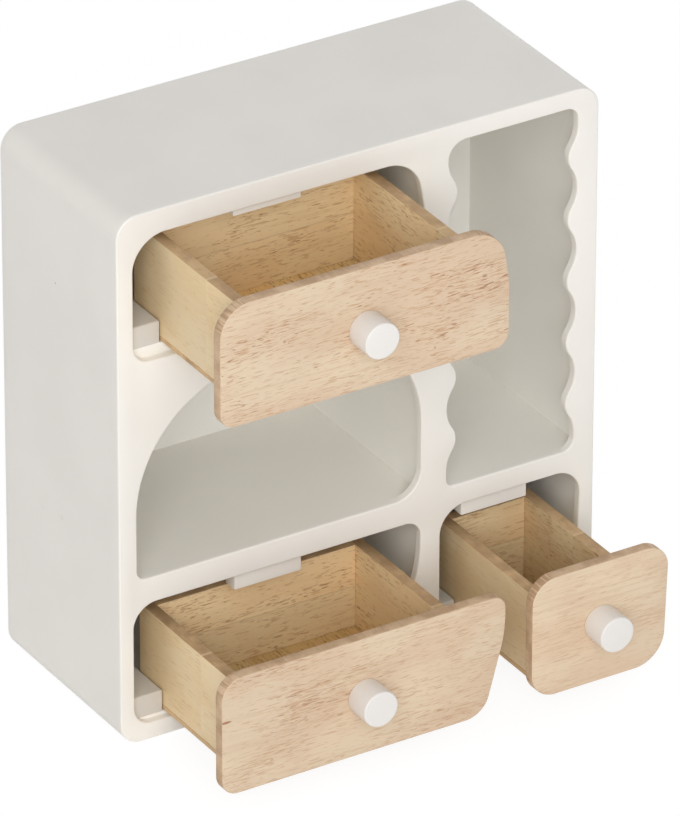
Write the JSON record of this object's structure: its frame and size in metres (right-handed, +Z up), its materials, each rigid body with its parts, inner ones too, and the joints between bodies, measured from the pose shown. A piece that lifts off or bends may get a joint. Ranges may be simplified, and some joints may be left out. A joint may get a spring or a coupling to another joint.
{
  "type": "desktop mini drawer cabinet",
  "caption": "Upright desktop cabinet with wooden pull-out drawers on round knobs, an arched open compartment and a tall open compartment with wavy edges.",
  "frame": {"origin": "centre of the cabinet's bottom face, which it stands on", "axes": "+X to the cabinet's right seen from the front, +Y to its back, +Z up; the drawers pull out along -Y"},
  "size_m": [0.25, 0.1922, 0.268],
  "materials": {
    "white_paint": "satin white paint on fibreboard",
    "white_knob": "satin white paint",
    "pale_wood": "bare sanded wood",
    "sheet_wood": "bare plywood sheet",
    "screw_steel": "zinc plated"
  },
  "bodies": {
    "cabinet": {"front_plate": "white_paint", "back_panel": "white_paint", "top_panel": "white_paint", "base_panel": "white_paint", "left_side_panel": "white_paint", "right_side_panel": "white_paint", "divider": "white_paint", "upper_shelf": "white_paint", "lower_left_shelf": "white_paint", "lower_right_shelf": "white_paint", "upper_left_rail": "white_paint", "upper_right_rail": "white_paint", "lower_left_rail": "white_paint", "lower_right_rail": "white_paint", "small_left_rail": "white_paint", "small_right_rail": "white_paint", "upper_stop": "white_paint", "lower_stop": "white_paint", "small_stop": "white_paint"},
    "upper_drawer": {"upper_front": "pale_wood", "upper_left_board": "pale_wood", "upper_right_board": "pale_wood", "upper_back_board": "pale_wood", "upper_bottom_sheet": "sheet_wood", "upper_knob": "white_knob", "upper_knob_screw": "screw_steel"},
    "lower_drawer": {"lower_front": "pale_wood", "lower_left_board": "pale_wood", "lower_right_board": "pale_wood", "lower_back_board": "pale_wood", "lower_bottom_sheet": "sheet_wood", "lower_knob": "white_knob", "lower_knob_screw": "screw_steel"},
    "small_drawer": {"small_front": "pale_wood", "small_left_board": "pale_wood", "small_right_board": "pale_wood", "small_back_board": "pale_wood", "small_bottom_sheet": "sheet_wood", "small_knob": "white_knob", "small_knob_screw": "screw_steel"}
  },
  "joints": [
    {"name": "upper_drawer_slide", "type": "slide", "parent": "cabinet", "child": "upper_drawer", "axis": [0, -1, 0], "range_m": [-0.07, 0.0085]},
    {"name": "lower_drawer_slide", "type": "slide", "parent": "cabinet", "child": "lower_drawer", "axis": [0, -1, 0], "range_m": [-0.072, 0.0065]},
    {"name": "small_drawer_slide", "type": "slide", "parent": "cabinet", "child": "small_drawer", "axis": [0, -1, 0], "range_m": [-0.074, 0.0045]}
  ]
}
